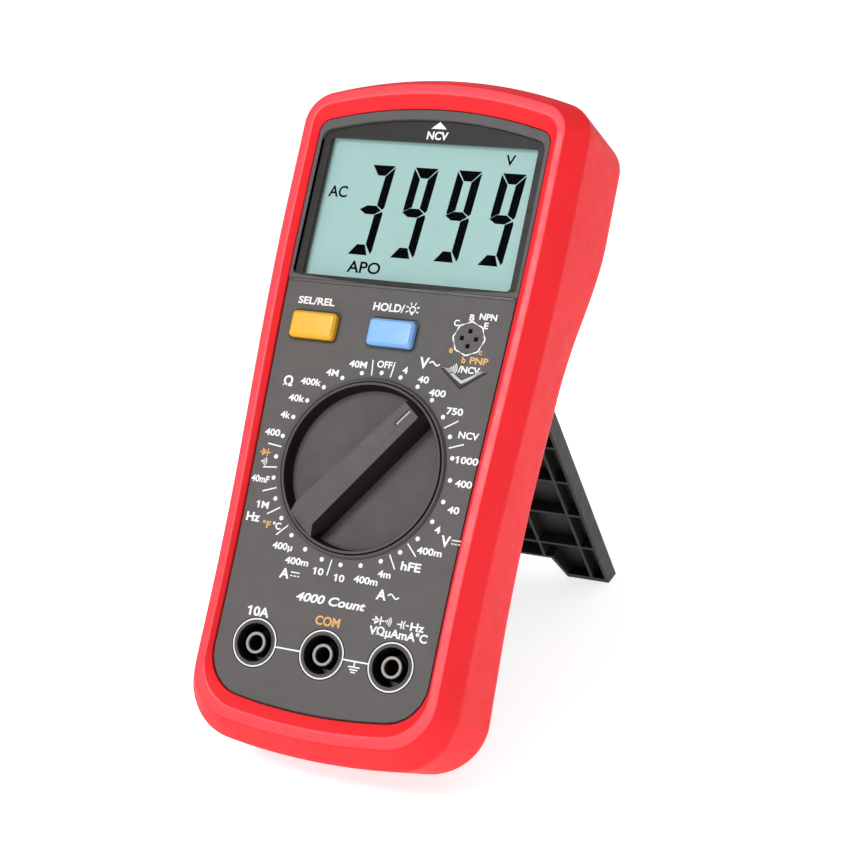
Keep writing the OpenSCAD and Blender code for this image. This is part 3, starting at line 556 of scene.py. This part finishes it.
OPENING = (0.1, 118.7)                 # middle of the display's opening in the border
BORDER_TOP = -1.0
PANE_TOP = -1.08
LCD_TOP = -3.2
inner = upper_edge(inset(WINDOW, 0.2), WINDOW_LOW + 0.4)
border = slab([inner, rounded(*OPENING, 61.2, 38.8, 1.2)], BORDER_TOP - 0.2, BORDER_TOP)
make("window_border", *border, BORDER, slot="window_clear")
pane = flat([rounded(*OPENING, 61.1, 38.7, 1.15)], PANE_TOP)
make("window_pane", *pane, PANE, replaces=("display_window",), slot="window_clear")
glass = skin([ring_at(rounded(0, 118.4, 63.4, 40.6, 0.3), w) for w in (LCD_TOP - 0.2, LCD_TOP)])
make("lcd_face", *glass, LCD_PAINTED_GLOW, replaces=("lcd_glass",), slot="lcd_glass")
SILL_V = 97.15
sill = [ring_at(rounded(0, SILL_V, 66.2, 0.9, 0.3), w) for w in (-0.2, 0.05)]
sill.append(ring_at(rounded(0, SILL_V, 65.8, 0.45, 0.15), 0.3))
make("window_sill", *skin(soften(sill, [0, 0.1, 0])), BEZEL, slot="panel_grey")


# ---------------------------------------------------------------- printing
PRINT = 0.03                           # height of the ink on the panel
WINDOW_PRINT = -0.97                   # on the window's border
LCD_PRINT = -3.19                      # on the display glass


def text_mesh(body, bold=0.0, shear=0.0, spacing=1.0):
    curve = bpy.data.curves.new("text", "FONT")
    curve.body = body
    curve.offset = bold
    curve.shear = shear
    curve.space_character = spacing
    curve.resolution_u = 4
    thing = bpy.data.objects.new("text", curve)
    bpy.context.scene.collection.objects.link(thing)
    bpy.context.view_layer.update()
    mesh = thing.evaluated_get(bpy.context.evaluated_depsgraph_get()).to_mesh()
    verts = np.array([v.co[:2] for v in mesh.vertices])
    faces = [tuple(p.vertices) for p in mesh.polygons]
    bpy.data.objects.remove(thing)
    bpy.data.curves.remove(curve)
    return verts, faces


def label(body, cx, cy, height, width=None, w=PRINT, bold=0.03, shear=0.0, spacing=1.0):
    """Text centred on a point, with capitals height mm tall, and width mm wide if stated."""
    verts, faces = text_mesh(body, bold, shear, spacing)
    caps = text_mesh("H", bold)[0]
    scale = height / (caps[:, 1].max() - caps[:, 1].min())
    base = caps[:, 1].min()
    low_x, high_x = verts[:, 0].min(), verts[:, 0].max()
    wide = width / (high_x - low_x) if width else scale
    x = (verts[:, 0] - (low_x + high_x) / 2) * wide
    y = (verts[:, 1] - base) * scale - height / 2
    points = [(cx + a, cy + b, w) for a, b in zip(x, y)]
    if body[0] == "1":
        # a slanted stroke at the top of a leading 1, as the panel prints it
        left, top = cx + x.min(), cy + height / 2
        corners_of_flag = [(0.04, 0), (-0.26, -0.2), (-0.26, -0.38), (0.04, -0.24)]
        flag = [(left + a * height, top + b * height, w) for a, b in corners_of_flag]
        return joined([(points, faces), (flag, [(0, 1, 2, 3)])])
    return points, faces


def stroke(a, b, width, w=PRINT):
    d = np.array(b, float) - np.array(a, float)
    d /= np.linalg.norm(d)
    n = np.array((-d[1], d[0])) * width / 2
    points = [np.array(a) - n, np.array(b) - n, np.array(b) + n, np.array(a) + n]
    return [(p[0], p[1], w) for p in points], [(0, 1, 2, 3)]


def polyline(points, width, w=PRINT, closed=False):
    pts = np.array(points, float)
    n = len(pts)
    left, right = [], []
    for i in range(n):
        before = pts[i - 1] if (i or closed) else pts[i]
        after = pts[(i + 1) % n] if (i < n - 1 or closed) else pts[i]
        d = after - before
        d /= np.linalg.norm(d)
        m = np.array((-d[1], d[0])) * width / 2
        left.append(pts[i] + m)
        right.append(pts[i] - m)
    verts = [(p[0], p[1], w) for p in left + right]
    faces = [(i, (i + 1) % n, n + (i + 1) % n, n + i) for i in range(n if closed else n - 1)]
    return verts, faces


def disc(cx, cy, r, w=PRINT, steps=28):
    return [(x, y, w) for x, y in circle(cx, cy, r, steps)], [tuple(range(steps))]


def band(cx, cy, inner_r, outer_r, w=PRINT, steps=72):
    rings = [ring_at(circle(cx, cy, r, steps), w) for r in (inner_r, outer_r)]
    return skin(rings, (False, False))


def beeper(cx, cy, size, count=3):
    """Sound marks: a dot and arcs that open to the right."""
    parts = [disc(cx - size * 0.55, cy, size * 0.09)]
    for k in range(count):
        r = size * (0.25 + 0.23 * k)
        arc_points = [(cx - size * 0.6 + r * math.cos(a), cy + r * math.sin(a))
                      for a in np.linspace(-0.75, 0.75, 9)]
        parts.append(polyline(arc_points, size * 0.11))
    return parts


def diode(cx, cy, size):
    h = size * 0.42
    arrow = [(cx - h * 0.8, cy - h, PRINT), (cx + h * 0.7, cy, PRINT), (cx - h * 0.8, cy + h, PRINT)]
    return [
        (arrow, [(0, 1, 2)]),
        stroke((cx + h * 0.75, cy - h), (cx + h * 0.75, cy + h), size * 0.14),
        stroke((cx - size * 0.62, cy), (cx + size * 0.68, cy), size * 0.13),
    ]


def polar(index, r):
    """A point at the index-th position of the dial, counted clockwise from the top."""
    a = math.radians(360 / POSITIONS * index)
    return r * math.sin(a), DIAL_V + r * math.cos(a)


def wave(cx, cy, size, width=0.38):
    points = [(cx + size * (t - 0.5), cy + size * 0.16 * math.sin(2 * math.pi * t))
              for t in np.linspace(0, 1, 17)]
    return polyline(points, width)


def direct(cx, cy, size, width=0.3):
    """A line over three dashes."""
    parts = [stroke((cx - size / 2, cy + 0.45), (cx + size / 2, cy + 0.45), width)]
    for k in (-1, 0, 1):
        middle = cx + k * size * 0.36
        parts.append(stroke((middle - size * 0.12, cy - 0.45), (middle + size * 0.12, cy - 0.45), width))
    return parts


DOTS_R = 25.5
SMALL = 1.85                           # height of the range figures
white = [disc(*polar(i, DOTS_R), 0.6) for i in range(POSITIONS)]
for half in (-0.5, 0.5, 4.5, 5.5, 10.5, 11.5, 14.5, 17.5, 18.5, 19.5, 20.5, 21.5):
    white.append(stroke(polar(half, 24.7), polar(half, 28.9), 0.36))
for text, x, v, width in (
        ("OFF", 0.4, 76.6, 4.4), ("4", 6.6, 75.7, 1.5), ("40", 12.3, 73.8, 3.2), ("400", 17.0, 70.7, 4.8),
        ("750", 22.9, 66.5, 4.7), ("NCV", 28.1, 60.7, 5.7), ("1000", 29.2, 54.3, 6.0), ("400", 29.4, 48.3, 4.7),
        ("40", 28.1, 41.4, 3.3), ("4", 24.9, 35.9, 1.6), ("400m", 23.9, 30.1, 7.0), ("hFE", 19.7, 25.6, 5.6),
        ("4m", 12.8, 22.7, 3.7), ("400m", 8.0, 20.4, 6.9), ("10", 0.6, 19.9, 2.7), ("10", -5.75, 20.75, 2.7),
        ("400m", -12.7, 22.4, 6.9), ("400µ", -17.8, 25.7, 5.9), ("°C", -20.8, 30.7, 2.6),
        ("1M", -26.1, 35.7, 3.3), ("40mF", -28.7, 42.4, 5.4), ("400", -28.1, 55.1, 4.6), ("4k", -25.4, 60.2, 3.0),
        ("40k", -23.2, 65.0, 4.8), ("400k", -20.0, 69.8, 6.2), ("4M", -14.3, 72.9, 3.7),
        ("40M", -7.3, 75.9, 5.2)):
    white.append(label(text, x, v, 2.3 if text == "hFE" else SMALL, width))
for text, x, v, height, width in (
        ("V", 11.5, 78.2, 3.0, 2.8), ("V", 27.7, 33.3, 2.9, 2.7), ("A", 13.2, 17.5, 2.7, 2.9),
        ("A", -15.5, 18.9, 2.7, 2.9), ("Hz", -28.3, 32.2, 2.4, 4.1), ("Ω", -26.8, 69.3, 2.7, 2.8),
        ("SEL/REL", -23.6, 91.7, 2.0, 11.0), ("HOLD/", -1.9, 91.9, 2.2, 9.2), ("10A", -20.35, 8.0, 2.5, 5.9),
        ("VΩµAmA°C", 20.0, 8.35, 2.2, 16.4), ("Hz", 24.9, 10.85, 2.1, 3.9), ("/NCV", 24.4, 77.6, 1.8, 6.1),
        ("C", 18.3, 89.6, 1.7, 1.5), ("B", 22.3, 91.4, 1.7, 1.4), ("E", 26.7, 89.6, 1.7, 1.2),
        ("NPN", 26.8, 91.9, 1.75, 4.9)):
    white.append(label(text, x, v, height, width))
white.append(label("4000 Count", -0.6, 13.7, 2.3, 20.2, shear=0.2))
white += [wave(14.5, 78.3, 3.0), wave(16.6, 17.5, 3.2)]
white += direct(30.6, 33.4, 2.5) + direct(-12.4, 19.0, 2.7)
white += beeper(-28.2, 47.1, 2.3) + beeper(17.2, 11.1, 2.4) + beeper(20.3, 77.6, 2.1, 4)
white += diode(13.7, 11.0, 2.6)
white += [stroke((19.2, 10.9), (20.3, 10.9), 0.35), stroke((20.4, 9.9), (20.4, 11.9), 0.35),
          stroke((21.6, 10.9), (22.5, 10.9), 0.35)]
white.append(polyline([(21.9 - 0.9 * math.cos(a), 10.9 + 1.3 * math.sin(a))
                       for a in np.linspace(-0.9, 0.9, 9)], 0.35))
# the lines that link the jacks, with the earth sign that hangs from the right one
JACK_CLEAR = 6.2
white += [stroke((JACKS[0] + JACK_CLEAR, -0.2), (JACKS[1] - JACK_CLEAR, -0.2), 0.4),
          stroke((JACKS[1] + JACK_CLEAR, -0.2), (JACKS[2] - JACK_CLEAR, -0.2), 0.4),
          stroke((9.75, -0.3), (9.75, -1.6), 0.4), stroke((8.1, -1.65), (11.4, -1.65), 0.35),
          stroke((8.6, -2.35), (10.9, -2.35), 0.35), stroke((9.1, -3.0), (10.4, -3.0), 0.35)]
# the backlight's sign: a ring with rays and a foot
lamp_at = (5.0, 91.9)
white.append(band(*lamp_at, 0.62, 0.98))
for k in range(8):
    a = math.radians(45 * k + 22.5)
    if k not in (5, 6):
        white.append(stroke((lamp_at[0] + 1.25 * math.cos(a), lamp_at[1] + 1.25 * math.sin(a)),
                            (lamp_at[0] + 2.05 * math.cos(a), lamp_at[1] + 2.05 * math.sin(a)), 0.34))
white.append(stroke((lamp_at[0] - 0.35, lamp_at[1] - 1.2), (lamp_at[0] + 0.35, lamp_at[1] - 1.2), 0.5))
white.append(polyline(circle(*SOCKET, 4.25, 96, 8, 0.22), 0.4, closed=True))
make("print_white", *joined(white), INK_WHITE, slot="panel_grey")

gold = [label("COM", -0.2, 8.5, 2.4, 7.1), label("°F", -23.9, 30.7, SMALL, 2.5),
        label("PNP", 26.7, 80.2, 1.8, 5.2), label("e", 18.3, 82.5, 1.9, 1.1),
        label("b", 22.4, 80.1, 1.7, 1.1), label("c", 26.6, 82.6, 1.6, 0.9)]
gold += diode(-29.0, 49.6, 2.5)
make("print_gold", *joined(gold), INK_GOLD, slot="panel_grey")

arrow_head = [(x, v, WINDOW_PRINT) for x, v in ((-1.3, 141.9), (3.3, 141.9), (1.0, 143.9))]
window_print = [label("NCV", 1.0, 140.0, 2.3, 6.2, w=WINDOW_PRINT), (arrow_head, [(0, 1, 2)])]
make("print_window", *joined(window_print), INK_WHITE, slot="panel_grey")


# ---------------------------------------------------------------- liquid crystal figures
def seven(digit, x0, v0, width=7.1, tall=25.3, thick=2.9, slant=0.078, gap=0.2):
    """Segments of one figure, each a polygon in the figure's upright box, then sheared."""
    t, m, g, e = thick, tall / 2, gap, 0.82 * thick
    h = 0.42 * thick
    shapes = {
        "a": [(g, tall), (width - 0.6 * g, tall), (width - e, tall - t), (e + 0.1, tall - t)],
        "d": [(e - 2.2, 0), (width - 0.5 * e, 0), (width - e - g, t), (e - 0.2, t)],
        "g": [(g - 0.3, m), (e - 0.5, m + h), (width - e - 0.1, m + h), (width - 0.8, m),
              (width - e - 0.1, m - h), (e - 0.5, m - h)],
        "b": [(width, tall - 0.35), (width, m + 0.9), (width - 0.5, m + 0.2), (width - e, m + h + 0.15),
              (width - e, tall - t - 0.3)],
        "c": [(width, m - 0.9), (width, 1.2), (width - 0.35, 0.4), (width - e, t + 0.1),
              (width - e, m - h - 0.1), (width - 0.4, m - 0.3)],
        "f": [(0, tall - 0.35), (0, m + 0.9), (0.2, m + 0.3), (e, m + h + 0.35), (e, tall - t - 0.3)],
    }
    parts = []
    for key in {"3": "abgcd", "9": "abfgcd"}[digit]:
        pts = [(x0 + u + slant * v, v0 + v, LCD_PRINT) for u, v in shapes[key]]
        parts.append((pts, [tuple(range(len(pts)))]))
    return parts


FIRST_DIGIT = (-19.5, 106.3)
DIGIT_PITCH = 12.8
figures = []
for k, digit in enumerate("3999"):
    figures += seven(digit, FIRST_DIGIT[0] + DIGIT_PITCH * k, FIRST_DIGIT[1])
for text, x, v, height, width in (("AC", -26.3, 123.5, 3.2, 5.7), ("V", 22.4, 135.2, 2.9, 2.8),
                                  ("APO", -13.6, 102.9, 3.2, 9.9)):
    figures.append(label(text, x, v, height, width, w=LCD_PRINT, bold=0.018))
make("lcd_figures", *joined(figures), INK_BLACK, slot="lcd_glass")


# ---------------------------------------------------------------- selector knob
def spun(points, angle=POINTER):
    """Turns points about the selector's axis."""
    a = math.radians(angle)
    out = np.array(points, float)
    x, y = out[:, 0].copy(), out[:, 1].copy()
    out[:, 0] = x * math.cos(a) - y * math.sin(a)
    out[:, 1] = DIAL_V + x * math.sin(a) + y * math.cos(a)
    return out


def bar_outline(tail_y, tip_y, tail_half, tip_half, r=0.5, steps=5):
    """Outline of a bar with rounded corners that narrows towards its tip."""
    corners_xy = [(tail_half, tail_y), (tip_half, tip_y), (-tip_half, tip_y), (-tail_half, tail_y)]
    out = []
    for i, corner_xy in enumerate(corners_xy):
        p = np.array(corner_xy, float)
        before = np.array(corners_xy[i - 1]) - p
        after = np.array(corners_xy[(i + 1) % 4]) - p
        a = p + before / np.linalg.norm(before) * r
        b = p + after / np.linalg.norm(after) * r
        for k in range(steps + 1):
            t = k / steps
            out.append(tuple((1 - t) ** 2 * a + 2 * t * (1 - t) * p + t * t * b))
    return out


DISH = -3.2                            # floor of the dish round the grip
UNDERSIDE = -4.9                       # of that floor
SKIRT_LOW = -7.2
RIM_HIGH = 1.3
RIM_R = 22.7
GRIP_HIGH = 4.4
STEEP = 0.6                            # faces that lean more than this, below the grip's top, get near-black painted shade
dish = lathe([(0, UNDERSIDE), (0, DISH), (20.3, DISH), (21.1, -2.8), (21.5, -2.1), (21.8, 0.9),
              (22.05, RIM_HIGH), (22.45, RIM_HIGH), (RIM_R, 1.0), (RIM_R, -6.0), (21.3, SKIRT_LOW),
              (20, SKIRT_LOW), (20, UNDERSIDE), (0, UNDERSIDE)], 0, 0, 144, 0.2)
hub = lathe([(0, -4.3), (5.5, -4.3), (5.5, -12.3), (1.1, -12.3), (1.1, -6.2), (0, -6.2)], 0, 0, 48)
grip_rings = [
    ring_at(bar_outline(-21.9, 21.7, 4.9, 3.9), -3.7),
    ring_at(bar_outline(-21.9, 21.7, 4.85, 3.85), 0.9),
    ring_at(bar_outline(-18.3, 20.6, 4.0, 3.0), GRIP_HIGH),
    ring_at(bar_outline(14.9, 20.2, 0.5, 0.5, 0.15), GRIP_HIGH),
    ring_at(bar_outline(14.95, 20.15, 0.45, 0.45, 0.15), 3.9),
]
grip = skin(soften(grip_rings, [0, 0.35, 0.32, 0.08, 0], 4))
verts, faces = joined([dish, hub, grip])
knob = make("knob", spun(verts), faces, KNOB, "selector", ("selector_knob",), 40, "knob_grey")
# steep faces of the grip, dish wall, skirt and hub get the near-black copy: painted shade
knob.data.materials.append(KNOB_SIDE_SHADE)
for face in knob.data.polygons:
    height = (Vector(face.center) - ORIGIN).dot(OUT) / MM
    if abs(face.normal.dot(OUT)) < STEEP and height < GRIP_HIGH - 0.2:
        face.material_index = 1
mark = skin([ring_at(bar_outline(15.1, 20.0, 0.3, 0.3, 0.1), w) for w in (3.85, 4.1)])
make("knob_mark", spun(mark[0]), mark[1], COLLAR, "selector", (), 30, "knob_grey")
bezel = lathe([(22.85, -1.0), (22.85, 0.6), (23.1, 0.95), (23.45, 0.95), (23.75, 0.5), (24.0, 0.02),
               (24.0, -0.3)], 0, DIAL_V, 160, 0.12)
make("dial_bezel", *bezel, BEZEL, slot="panel_grey")


# ---------------------------------------------------------------- push buttons
KEY_SIZE = (13.2, 7.2)
KEY_V = 84.8


def button(name, cx, cy, material, body, node, slot):
    """A push button on its flange, the lip round its hole, and the hole's wall with a thin band round the button
    in black: painted shade of the gap round the button.
    """
    sx, sy = KEY_SIZE
    rings = [ring_at(rounded(cx, cy, sx + grow, sy + grow, r), w) for grow, r, w in (
        (2, 1.1, -4.6), (2, 1.1, -3.4), (0, 1.1, -3.4), (0, 1.1, 1.45), (-1.3, 0.7, 2.25), (-2.6, 0.6, 2.3))]
    make(name, *skin(soften(rings, [0, 0.1, 0.05, 0.08, 0.06, 0], 4)), material, body, (node,), 30, slot)
    lip = [ring_at(rounded(cx, cy, sx + 2 * d, sy + 2 * d, 1.1 + d), w)
           for d, w in ((0.55, -0.4), (0.55, 0.1), (0.65, 0.22), (0.9, 0.02), (0.9, -0.2))]
    lip_skin = skin(soften(lip, [0, 0.05, 0.08, 0.05, 0], 3), (False, False))
    make(name + "_lip", *lip_skin, BEZEL, slot="panel_grey")
    # black wall and thin black band in the gap round the button: painted shade
    painted_shade_well = [ring_at(rounded(cx, cy, sx + 2 * d, sy + 2 * d, 1.1 + d), w)
            for d, w in ((0.12, -1.5), (0.12, 0.02), (0.62, 0.03))]
    make(name + "_painted_shade_well", *skin(painted_shade_well, (False, False)), BLACK, slot="black_plastic")


button("select_key", -22.4, KEY_V, YELLOW, "select_key", "select_button", "button_yellow")
button("hold_key", 0.8, KEY_V, BLUE, "hold_key", "hold_button", "button_blue")

# ---------------------------------------------------------------- transistor socket
HOLES_R = 2.0
HOLE = 1.2
holes = [rounded(SOCKET[0] + HOLES_R * math.sin(a), SOCKET[1] + HOLES_R * math.cos(a), HOLE, HOLE, 0.1, 2)
         for a in (0, math.pi / 2, math.pi, 3 * math.pi / 2)]
face = slab([circle(*SOCKET, 4.1, 72)] + holes, -7.0, 0.06)
make("socket_face", *face, PANEL, replaces=("transistor_socket",), slot="black_plastic")

# ---------------------------------------------------------------- light window over the alarm lamp
chevron = [(16.2, 77.5), (22.95, 72.3), (29.8, 77.4), (28.4, 77.5), (22.95, 73.5), (17.6, 77.5)]
ridge = [(17.0, 77.4), (22.95, 72.9), (29.0, 77.3), (28.6, 77.42), (22.95, 73.25), (17.4, 77.45)]
# the black band round the chevron: painted shadow under the raised chevron and its lens
chevron_shade_rim = skin([ring_at(chevron, -0.2), ring_at(chevron, 0.02), ring_at(ridge, 0.3)])
make("chevron_painted_shade_rim", *chevron_shade_rim, BLACK, slot="panel_grey")
left_wing = [(16.6, 77.6), (18.6, 76.1), (20.0, 76.6), (19.2, 77.5)]
right_wing = [(29.4, 77.55), (27.3, 76.0), (26.0, 76.5), (26.9, 77.45)]
wings = [skin([ring_at(wing, h) for h in (-0.2, 0.14, 0.16)], (False, True))
         for wing in (left_wing, right_wing)]
make("chevron_wings", *joined(wings), WING, slot="panel_grey")
lens_outline = [(19.1, 76.0), (23.05, 73.75), (27.1, 76.0), (26.2, 76.5), (23.05, 74.75), (20.0, 76.45)]
lens = skin([ring_at(lens_outline, w) for w in (-1.5, 0.1)])
make("alarm_window", *lens, LENS, replaces=("alarm_lens",), slot="lens_smoke")

# ---------------------------------------------------------------- input jacks
WELL_R = 5.0                           # the ring-shaped space that takes the plug's shroud
WELL_LOW = -11
CUP_R = 5.9
wells, collars, rims, rings_white, rings_painted_shade = [], [], [], [], []
for x in JACKS:
    wells.append(lathe([(WELL_R, 0.06), (WELL_R, -9.3), (3.2, -9.5), (3.2, -3.6), (2.86, -3.3), (2.86, -1.0),
                        (2.06, -1.0), (2.06, -9.2), (2.6, -9.2), (2.6, WELL_LOW), (CUP_R, WELL_LOW),
                        (CUP_R, -0.65), (5.2, -0.65), (5.2, 0.06), (WELL_R, 0.06)], x, 0, 96, 0.0))
    collars.append(lathe([(2.1, -1.1), (2.1, -0.55), (2.25, -0.42), (2.72, -0.42), (2.84, -0.6),
                          (2.84, -1.1), (2.1, -1.1)], x, 0, 72, 0.06))
    rims.append(lathe([(WELL_R, -0.4), (WELL_R, 0.1), (5.12, 0.25), (5.35, 0.25), (5.5, 0.03),
                       (5.5, -0.3)], x, 0, 96, 0.04))
    # a dark band just outside each white ring: painted shade of a groove
    rings_painted_shade.append(band(x, 0, 6.35, 6.62, 0.02))
    rings_white.append(lathe([(5.95, 0.01), (6.0, 0.1), (6.28, 0.1), (6.33, 0.01)], x, 0, 96, 0.03))
make("jack_wells", *joined(wells), BLACK, replaces=("jack_block",), slot="black_plastic")
make("jack_collars", *joined(collars), COLLAR, slot="black_plastic")
make("jack_rims", *joined(rims), BEZEL, slot="panel_grey")
make("jack_rings_painted_shade", *joined(rings_painted_shade), GROOVE_SHADE_INK, slot="panel_grey")
make("jack_rings_white", *joined(rings_white), INK_WHITE, slot="panel_grey")

# ---------------------------------------------------------------- floor and light
FLOOR_GLOW = 0.7
WORLD_LIGHT = 0.45
floor_mesh = bpy.data.meshes.new("floor")
floor_mesh.from_pydata([(-4, -3, 0), (4, -3, 0), (4, 6, 0), (-4, 6, 0)], [], [(0, 1, 2, 3)])
floor = bpy.data.objects.new("floor", floor_mesh)
bpy.context.scene.collection.objects.link(floor)
paper = ink("floor_paper", srgb(250, 250, 250), 0.9)
paper_shader = paper.node_tree.nodes["Principled BSDF"]
paper_shader.inputs["Emission Color"].default_value = (1, 1, 1, 1)
paper_shader.inputs["Emission Strength"].default_value = FLOOR_GLOW
floor_mesh.materials.append(paper)

world = bpy.data.worlds.new("studio")
bpy.context.scene.world = world
world.use_nodes = True
world.node_tree.nodes["Background"].inputs["Color"].default_value = (1, 1, 1, 1)
world.node_tree.nodes["Background"].inputs["Strength"].default_value = WORLD_LIGHT
CENTRE = (Vector(CAD_BOX[0]) + Vector(CAD_BOX[1])) / 2


def area(name, place, size, watts):
    """A square lamp, placed from the middle of the object and aimed at it."""
    lamp = bpy.data.lights.new(name, "AREA")
    lamp.shape = "SQUARE"
    lamp.size = size
    lamp.energy = watts
    thing = bpy.data.objects.new(name, lamp)
    bpy.context.scene.collection.objects.link(thing)
    thing.location = CENTRE + Vector(place)
    thing.rotation_euler = (-Vector(place)).to_track_quat("-Z", "Y").to_euler()


area("key", (-0.3, -0.8, 1.0), 0.35, 9.2)
area("fill", (0.95, -0.6, 0.45), 0.9, 0.9)
bpy.context.scene.view_settings.view_transform = "Standard"
